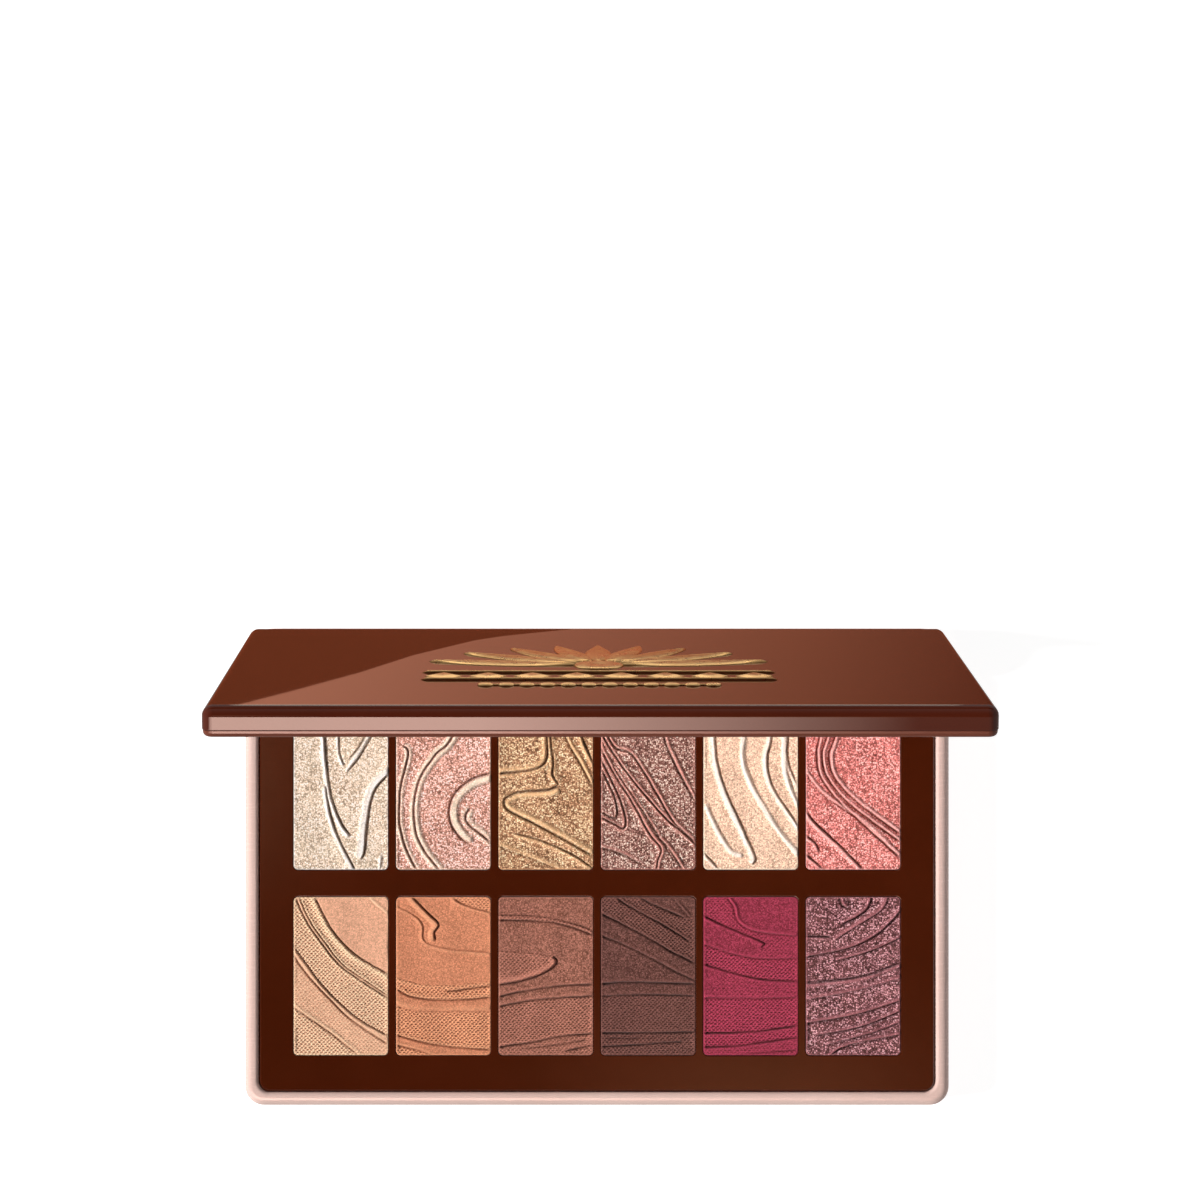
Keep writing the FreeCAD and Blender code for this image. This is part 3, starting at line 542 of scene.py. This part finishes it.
def relief(row, column, u, v, width, length):
    """A powder's height in mm, and masks for painted shade along its grooves, painted highlight on its crests, and
    painted shade and highlight in its pebbled bands.
    """
    key = (row, column)
    seed = column + (10 if row == "rear" else 20)
    x = u * width + 0.03 * wobble(u * width, v * length, seed, 3.0)
    y = v * length + 0.03 * wobble(u * width, v * length, seed + 100, 3.0)
    height = 0.04 * wobble(x, y, seed + 50, 9.0)
    groove_shade, crest_highlight = np.zeros(x.shape), np.zeros(x.shape)
    sides = []
    for points, depth, left, right, wide in STROKES[key]:
        path = smooth_path(points) * np.array([width, length])
        s, along = side_distance(x, y, path)
        run = np.hypot(*np.diff(path, axis=0).T).sum()
        sides.append(s)
        inside = np.clip(np.minimum(along, 1 - along) * run / 1.2, 0, 1)
        ends = inside * inside * (3 - 2 * inside)
        weight = (0.85 + 0.15 * np.sin(along * 11 + seed)) * ends
        line = np.exp(-(s / 0.18) ** 2) * weight
        for side, tall, rise in ((s, left, 1.0), (-s, right, 0.55)):
            near, far = np.clip(side / (rise * wide), 0, 1), np.clip((side - rise * wide) / (1.7 * wide), 0,
                                                                     1)
            bank = weight * near * near * (3 - 2 * near) * (1 - far * far * (3 - 2 * far))
            height += tall * bank
            # This mask paints highlight on the ridges' tops.
            crest_highlight = np.maximum(crest_highlight, min(1.0, tall / 0.2) * bank)
        height -= depth * line
        # This mask paints shade along the stroke's line.
        groove_shade = np.maximum(groove_shade, line * min(1.0, depth / 0.17))
    pebble = np.zeros(x.shape)
    for low, high, *much in PEBBLES.get(key, []):
        mask = np.ones(x.shape) * (much[0] if much else 1.0)
        if low is not None:
            mask *= 0.5 + 0.5 * np.tanh(sides[low] / 0.18)
        if high is not None:
            mask *= 0.5 - 0.5 * np.tanh(sides[high] / 0.18)
        pebble = np.maximum(pebble, mask)
    x, y = x + 0.06 * wobble(x, y, seed + 7, 1.1), y + 0.06 * wobble(x, y, seed + 8, 1.1)
    odd = np.floor(y / (PEBBLE_PITCH / 2)) % 2
    dots = np.sin(math.pi * ((y / (PEBBLE_PITCH / 2)) % 1))
    dots *= np.sin(math.pi * ((x / PEBBLE_PITCH + odd / 2) % 1))
    height -= pebble * PEBBLE_DEPTH * dots ** 2
    # The last mask paints shade in the pebbles' hollows and highlight on their tops.
    return height, groove_shade, crest_highlight, pebble * (np.clip(1.4 * dots ** 2, 0, 1) - 0.25)


def rounded(x, y, hx, hy, r):
    """Moves points of a box of half sizes hx, hy onto one with corner radius r, smoothly."""
    ax, ay = np.abs(x) - (hx - r), np.abs(y) - (hy - r)
    corner = (ax > 0) & (ay > 0)
    scale = np.ones(x.shape)
    scale[corner] = np.maximum(ax, ay)[corner] / np.hypot(ax, ay)[corner]
    return (np.where(corner, np.sign(x) * (hx - r + ax * scale), x),
            np.where(corner, np.sign(y) * (hy - r + ay * scale), y))


def powder(row, column, display_name):
    node = f"powder_{row}_{column}"
    pan_low, pan_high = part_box(f"pan_{row}_{column}")
    low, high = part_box(node)
    hx, hy = ((pan_high[k] - pan_low[k]) / 2 / MM + RIM_COVER for k in (0, 1))
    inner_x, inner_y = (high.x - low.x) / 2 / MM, (high.y - low.y) / 2 / MM
    edge = EDGE_ROUND * (1 - np.cos(np.linspace(0, math.pi / 2, 6)))

    def stations(half):
        count = max(2, round(2 * (half - EDGE_ROUND) / GRID))
        mid = np.linspace(-half + EDGE_ROUND, half - EDGE_ROUND, count + 1)
        return np.concatenate([-half + edge[:-1], mid, (half - edge[:-1])[::-1]])

    gx, gy = np.meshgrid(stations(hx), stations(hy))
    reach = np.minimum(hx - np.abs(gx), hy - np.abs(gy))
    height, groove_shade, crest_highlight, pebble = relief(row, column, (gx + hx) / (2 * hx), (gy + hy) / (2 * hy), 2 * hx,
                                           2 * hy)
    strength = RELIEF[row] * DEEPER.get((row, column), 1.0)
    height = np.clip(strength * (height - np.median(height)) + 0.06, DEEPEST, HIGHEST)
    inward = np.clip((reach - 0.34) / 0.3, 0, 1)
    height = np.maximum(height, EDGE_HEIGHT) * (1 - inward) + height * inward
    edge_drop = EDGE_ROUND - np.sqrt(EDGE_ROUND ** 2 - np.clip(EDGE_ROUND - reach, 0, EDGE_ROUND) ** 2)
    height = np.where(reach < EDGE_ROUND, np.minimum(height, EDGE_HEIGHT) - edge_drop, height)
    # A mask for a painted highlight along the powder's rounded edge.
    edge_highlight = np.exp(-(reach / 0.2) ** 2)
    # The painted shade along the grooves fades out at the powder's edge.
    groove_shade = groove_shade * np.clip(reach / 0.12, 0, 1)
    px, py = rounded(gx, gy, hx, hy, CORNER)
    ny, nx = gx.shape
    top = np.stack([px.ravel(), py.ravel(), height.ravel()], 1)
    index = np.arange(nx * ny).reshape(ny, nx)
    loop = np.concatenate([index[0, :-1], index[:-1, -1], index[-1, :0:-1], index[:0:-1, 0]])
    quads = np.stack([index[:-1, :-1], index[:-1, 1:], index[1:, 1:], index[1:, :-1]], -1).reshape(-1, 4)
    faces = quads.tolist()
    ring = top[loop]
    inner = ring.copy()
    inner[:, 0], inner[:, 1] = rounded(gx.ravel()[loop] * inner_x / hx, gy.ravel()[loop] * inner_y / hy,
                                       inner_x, inner_y, INNER_CORNER)
    bottom = (low.z - high.z) / MM
    loops = [loop.tolist()]
    verts = [top]
    count = len(top)
    for outline, z in ((inner, 0.0), (inner, bottom)):
        part = outline.copy()
        part[:, 2] = z
        verts.append(part)
        loops.append(list(range(count, count + len(part))))
        count += len(part)
    for a, b in zip(loops, loops[1:]):
        for i in range(len(a)):
            j = (i + 1) % len(a)
            faces.append([a[i], b[i], b[j], a[j]])
    faces.append(loops[-1][::-1])
    verts = np.concatenate(verts) * MM
    verts += np.array([(low.x + high.x) / 2, (low.y + high.y) / 2, high.z])
    obj = solid(f"pressed_{row}_{column}", verts, faces, POWDER_PAINT[display_name], "base",
                (node,))
    padding = np.zeros(len(verts) - len(top))
    # The masks for the painted shade and highlights go on the powder as attributes.
    for name, values in (("groove_shade", groove_shade), ("crest_highlight", crest_highlight), ("pebble", pebble), ("edge_highlight", edge_highlight)):
        layer = obj.data.attributes.new(name, "FLOAT", "POINT")
        layer.data.foreach_set("value", np.concatenate([values.ravel(), padding]).astype(np.float32))
    return obj


for row, list_of in POWDERS.items():
    for column, (display_name, *_) in enumerate(list_of, start=1):
        powder(row, column, display_name)


# ------------------------------------------------------------------ gold ornament on the lid
def raised(name, patches, node):
    """Domed gold forms on the lid's outer face, from grids of (x, d, height) rows, closed underneath."""
    verts, faces = [], []
    for patch in patches:
        ny, nx = patch.shape[:2]
        start = len(verts)
        for x, d, h in patch.reshape(-1, 3):
            verts.append(lid_point(x * MM, d * MM, LID_T + h * MM))
        index = start + np.arange(nx * ny).reshape(ny, nx)
        faces += np.stack([index[:-1, :-1], index[:-1, 1:], index[1:, 1:], index[1:, :-1]], -1).reshape(-1,
            4).tolist()
        loop = np.concatenate([index[0, :-1], index[:-1, -1], index[-1, :0:-1], index[:0:-1, 0]]).tolist()
        faces.append(loop)
    return solid(name, verts, faces, GOLD, "lid", (node,))


HEIGHT = 0.4          # mm, the ornament's thickness in the CAD


def leaf_patch(heart, root, tip, width, angle):
    t = np.linspace(0, 1, 41)[:, None]
    s = np.linspace(-1, 1, 15)[None, :]
    chord = tip - root
    radius = (chord ** 2 / 4 + (width / 2) ** 2) / width
    half = np.sqrt(np.maximum(radius ** 2 - (chord * (t - 0.5)) ** 2, 0)) - (radius - width / 2)
    half = np.maximum(half, 0.012)
    dome = (1 - np.abs(s) ** 2.2) * np.minimum(1, half / 0.5)
    rib = 1 - 0.35 * np.exp(-(s / 0.14) ** 2) * np.minimum(1, half / 0.8)
    h = HEIGHT * dome * rib
    r = root + chord * t + 0 * s
    side = half * s
    x = heart[0] + math.sin(angle) * r + math.cos(angle) * side
    d = heart[1] - math.cos(angle) * r + math.sin(angle) * side
    return np.stack([x, d, h + 0 * r], -1)


def disc_patch(cx, cd, radius, height, dish=0.0):
    u, v = np.meshgrid(np.linspace(-1, 1, 21), np.linspace(-1, 1, 21))
    x, y = u * np.sqrt(1 - v * v / 2), v * np.sqrt(1 - u * u / 2)
    rho = np.minimum(1, np.hypot(x, y))
    h = height * (1 - rho ** 4) ** 0.5 * (1 - dish * np.exp(-(rho / 0.45) ** 2))
    return np.stack([cx + radius * x, cd + radius * y, h], -1)


def bar_patch(x0, x1, d0, d1, height):
    xs = np.linspace(x0, x1, 61)
    s = np.linspace(-1, 1, 9)
    gx, gs = np.meshgrid(xs, s)
    end = np.clip(np.minimum(gx - x0, x1 - gx) / 0.3, 0, 1)
    h = height * np.sqrt(1 - gs ** 4) * np.sqrt(1 - (1 - end) ** 2)
    return np.stack([gx, (d0 + d1) / 2 + gs * (d1 - d0) / 2, h], -1)


def lozenge_patch(cx, cd, hx, hd, height):
    """A four-sided faceted stone shape."""
    u, v = np.meshgrid(np.linspace(-1, 1, 17), np.linspace(-1, 1, 17))
    x, y = (u + v) / 2, (v - u) / 2
    rho = np.maximum(np.abs(u), np.abs(v))
    h = height * np.clip((1 - rho) / 0.55, 0, 1)
    return np.stack([cx + hx * x, cd + hd * y, h], -1)


fan_half, fan_near = 30.0, 46.0
fan_depth = fan_near - 20.3
heart = (0.0, fan_near - 4.6)
fan = []
for i in range(-4, 5):
    a = math.radians(20.5 * i)
    tip = 1 / math.hypot(math.sin(a) / fan_half, math.cos(a) / (fan_depth - 4.6))
    fan.append(leaf_patch(heart, 3.6, tip, 0.17 * tip + 1.0, a))
fan.append(disc_patch(*heart, 4.4, HEIGHT * 1.0, dish=0.45))
raised("gold_fan", fan, "ornament_fan")

band_mid, band_half, pitch = 52.5, 4.1, 60.0 / 8
band = [bar_patch(-30, 30, band_mid + s * band_half - 0.45 * (s + 1),
                  band_mid + s * band_half - 0.45 * (s - 1),
                  HEIGHT) for s in (-1, 1)]
for i in range(8):
    band.append(lozenge_patch(-30 + (i + 0.5) * pitch, band_mid, pitch / 2 - 0.35, band_half - 0.5, HEIGHT))
raised("gold_band", band, "ornament_band")

row_half = 40.7 / 2
beads = [bar_patch(-row_half + 1, row_half - 1, 61.25, 61.95, HEIGHT * 0.6)]
for i in range(12):
    beads.append(disc_patch(-row_half + 1.4 + i * (2 * row_half - 2.8) / 11, 61.6, 1.4, HEIGHT))
raised("gold_beads", beads, "ornament_pearls")


# ------------------------------------------------------------------ floor, lights and camera
def stage_mesh(name, verts, faces, material, glossy_only=False):
    mesh = bpy.data.meshes.new(name)
    mesh.from_pydata([tuple(v) for v in verts], [], faces)
    mesh.materials.append(material)
    obj = bpy.data.objects.new(name, mesh)
    bpy.context.scene.collection.objects.link(obj)
    if glossy_only:
        obj.visible_camera = obj.visible_diffuse = obj.visible_shadow = False
        obj.visible_transmission = obj.visible_volume_scatter = False
    return obj


floor_paint = Paint("floor_white", Roughness=0.9, Specular_IOR_Level=0.1)
floor_paint.shader.inputs["Base Color"].default_value = (0.45, 0.45, 0.45, 1)
floor_paint.shader.inputs["Emission Color"].default_value = (1, 1, 1, 1)
floor_paint.shader.inputs["Emission Strength"].default_value = 0.86
FLOOR_HALF = 1.6
floor = stage_mesh("floor", [(FLOOR_HALF * x, FLOOR_HALF * y, -0.00005) for x,
                             y in ((-1, -1), (1, -1), (1, 1), (-1, 1))],
                   [(0, 1, 2, 3)], floor_paint.mat)
floor.visible_glossy = False

# The camera looks straight down on the base, as the photo does.
CAMERA = Vector((-4.07 * MM, 49.33 * MM, 635.2 * MM))


def seen_in_lid(x, d, level):
    """The place at a level that the camera sees reflected at a place on the lid's outer face, in mm."""
    spot = lid_point(x * MM, d * MM, LID_T)
    ray = (spot - CAMERA).normalized()
    face = Vector((0, math.sin(OPEN), math.cos(OPEN)))
    ray -= 2 * ray.dot(face) * face
    return spot + ray * ((level - spot.z) / ray.z)


def flag(name, outline, level, stops, one_sided=False):
    """A card that only reflections see, coloured by a ramp along x of (x in mm, colour).

    It lies at a level, or at its points' own heights when that is None. One-sided cards are clear behind.
    """
    mat = bpy.data.materials.new(name)
    mat.use_nodes = True
    nodes, links = mat.node_tree.nodes, mat.node_tree.links
    nodes.clear()
    place, split, span, ramp, emit, out = (nodes.new("ShaderNode" + t) for t in (
        "TexCoord", "SeparateXYZ", "MapRange", "ValToRGB", "Emission", "OutputMaterial"))
    first, last = stops[0][0], stops[-1][0]
    span.inputs["From Min"].default_value, span.inputs["From Max"].default_value = first * MM, last * MM
    links.new(place.outputs["Object"], split.inputs["Vector"])
    links.new(split.outputs["X"], span.inputs["Value"])
    links.new(span.outputs["Result"], ramp.inputs["Fac"])
    links.new(ramp.outputs["Color"], emit.inputs["Color"])
    if not one_sided:
        links.new(emit.outputs["Emission"], out.inputs["Surface"])
    else:
        side, clear, both = (nodes.new("ShaderNode" + t) for t in ("NewGeometry", "BsdfTransparent",
                                                                   "MixShader"))
        links.new(side.outputs["Backfacing"], both.inputs["Fac"])
        links.new(emit.outputs["Emission"], both.inputs[1])
        links.new(clear.outputs["BSDF"], both.inputs[2])
        links.new(both.outputs["Shader"], out.inputs["Surface"])
    points = ramp.color_ramp.elements
    while len(points) < len(stops):
        points.new(0.5)
    for point, (x, colour) in zip(points, stops):
        point.position, point.color = (x - first) / (last - first), (*colour, 1)
    return stage_mesh(name, [(p.x, p.y, p.z if level is None else level) for p in outline],
                      [tuple(range(len(outline)))], mat, True)


# What the lid's outer face reflects: a dark sweep at the left and a warm glow, fading to the right.
low, lower = 0.0006, 0.0003
curve = [(-66, 91), (-59.7, 83), (-50, 66), (-40.7, 48.7), (-32.5, 30.3), (-22.2, 13.3), (-17.2, 8.2),
         (-7.1, 1.4), (8, -8)]
flag("dark_sweep", [seen_in_lid(x, d, lower) for x, d in ((-90, -30), (90, -30), (90, 92), (-90, 92))],
     lower, [(-100, (.235, .056, .022)), (100, (.235, .056, .022))])
flag("warm_glow", [seen_in_lid(x, d, low) for x, d in curve + [(88, -8), (88, 91)]], low,
     [(-85, (.94, .372, .231)), (-20, (.60, .222, .131)), (35, (.39, .127, .069)), (80, (.15, .037, .018))])
# A pale card further back for the raised gold, tilted so that the lid's foot only meets its clear side.
flag("gold_card", [Vector((x * MM, y * MM, z * MM)) for x, y, z in
                   ((-70, 84.5, 3), (70, 84.5, 3), (70, 112, -4.1), (-70, 112, -4.1))],
     None, [(-70, (3.0, 2.75, 2.25)), (70, (2.2, 2.0, 1.65))], True)
# A dark card that keeps the pale one out of the lid's rounded free edge.
flag("edge_card", [Vector((x * MM, y * MM, z * MM)) for x, y, z in
                   ((-90, 56.1, 85.9), (90, 56.1, 85.9), (90, 75, 101), (-90, 75, 101))],
     None, [(-90, (.01, .004, .002)), (90, (.01, .004, .002))], True)

world = bpy.data.worlds.new("studio")
bpy.context.scene.world = world
world.use_nodes = True
wn, wl = world.node_tree.nodes, world.node_tree.links
wn.clear()


def sky_range(value, low, high, to_low, to_high):
    node = wn.new("ShaderNodeMapRange")
    for key, number in zip(("From Min", "From Max", "To Min", "To Max"), (low, high, to_low, to_high)):
        node.inputs[key].default_value = number
    wl.new(value, node.inputs["Value"])
    return node.outputs["Result"]


def sky_times(*values):
    result = values[0]
    for value in values[1:]:
        node = wn.new("ShaderNodeMath")
        node.operation = "MULTIPLY"
        for socket, item in zip(node.inputs, (result, value)):
            wl.new(item, socket)
        result = node.outputs["Value"]
    return result


def sky_light(colour, strength):
    node = wn.new("ShaderNodeBackground")
    node.inputs["Color"].default_value = (*colour, 1)
    if isinstance(strength, (int, float)):
        node.inputs["Strength"].default_value = strength
    else:
        wl.new(strength, node.inputs["Strength"])
    return node.outputs["Background"]


sky_place, sky_split, path, out = (wn.new("ShaderNode" + t) for t in (
    "TexCoord", "SeparateXYZ", "LightPath", "OutputWorld"))
wl.new(sky_place.outputs["Generated"], sky_split.inputs["Vector"])
east, north, up = (sky_split.outputs[k] for k in "XYZ")
# What glossy surfaces see: dim walls, dark overhead, and a soft box high in front that fades eastwards.
walls = sky_light((1, 0.95, 0.92), sky_times(sky_range(up, 0.45, 0.97, 0.34, 0.008),
                                             sky_range(north, -0.12, 0.12, 1.0, 0.8)))
soft_box = sky_light((1, 0.665, 0.56), sky_times(
    sky_range(north, -0.27, -0.30, 0.0, 12.4), sky_range(north, -0.75, -0.60, 0.0, 1.0),
    sky_range(up, 0.3, 0.6, 0.0, 1.0), sky_range(east, -0.03, 0.10, 1.0, 0.03),
                                                 sky_range(east, -0.95, -0.15, 0.0, 1.0)))
# Two faint warm patches overhead, which the tray's plate shows at the front right and at the left.
front_patch = sky_light((1, 0.46, 0.23), sky_times(
    sky_range(up, 0.85, 0.93, 0.0, 1.3), sky_range(north, -0.11, -0.15, 0.0, 1.0),
                                                   sky_range(north, -0.24, -0.2, 0.0, 1.0),
    sky_range(east, -0.02, 0.04, 0.0, 1.0), sky_range(east, 0.07, 0.12, 1.0, 0.0)))
left_patch = sky_light((1, 0.5, 0.28), sky_times(
    sky_range(up, 0.85, 0.93, 0.0, 1.6), sky_range(north, -0.09, -0.06, 0.0, 1.0),
                                                 sky_range(north, -0.04, -0.01, 1.0, 0.0),
    sky_range(east, -0.13, -0.11, 0.0, 1.0), sky_range(east, -0.10, -0.075, 1.0, 0.0)))


def sky_sum(first, second):
    node = wn.new("ShaderNodeAddShader")
    wl.new(first, node.inputs[0])
    wl.new(second, node.inputs[1])
    return node.outputs["Shader"]


both = sky_sum(sky_sum(walls, soft_box), sky_sum(front_patch, left_patch))
pick, plain = wn.new("ShaderNodeMixShader"), wn.new("ShaderNodeMixShader")
wl.new(path.outputs["Is Glossy Ray"], pick.inputs["Fac"])
wl.new(sky_light((1.0, 0.985, 0.97), 0.27), pick.inputs[1])
wl.new(both, pick.inputs[2])
# Past the floor's edge the low views see plain white.
wl.new(path.outputs["Is Camera Ray"], plain.inputs["Fac"])
wl.new(pick.outputs["Shader"], plain.inputs[1])
wl.new(sky_light((1.0, 1.0, 1.0), 1.0), plain.inputs[2])
wl.new(plain.outputs["Shader"], out.inputs["Surface"])

key = bpy.data.lights.new("key", "SUN")
key.energy = 4.6
key.angle = math.radians(9)
key.color = (1.0, 0.985, 0.96)
key_obj = bpy.data.objects.new("key", key)
key_obj.visible_glossy = False
bpy.context.scene.collection.objects.link(key_obj)
key_obj.rotation_euler = Vector((-0.85, -0.04, 0.55)).to_track_quat("Z", "Y").to_euler()

camera = bpy.data.cameras.new("camera")
camera.sensor_width = 36
camera.lens = 102
camera.shift_x = 0.0208
camera.clip_start, camera.clip_end = 0.01, 10
camera_obj = bpy.data.objects.new("camera", camera)
camera_obj.location = CAMERA
bpy.context.scene.collection.objects.link(camera_obj)
bpy.context.scene.camera = camera_obj
bpy.context.scene.view_settings.view_transform = "Standard"
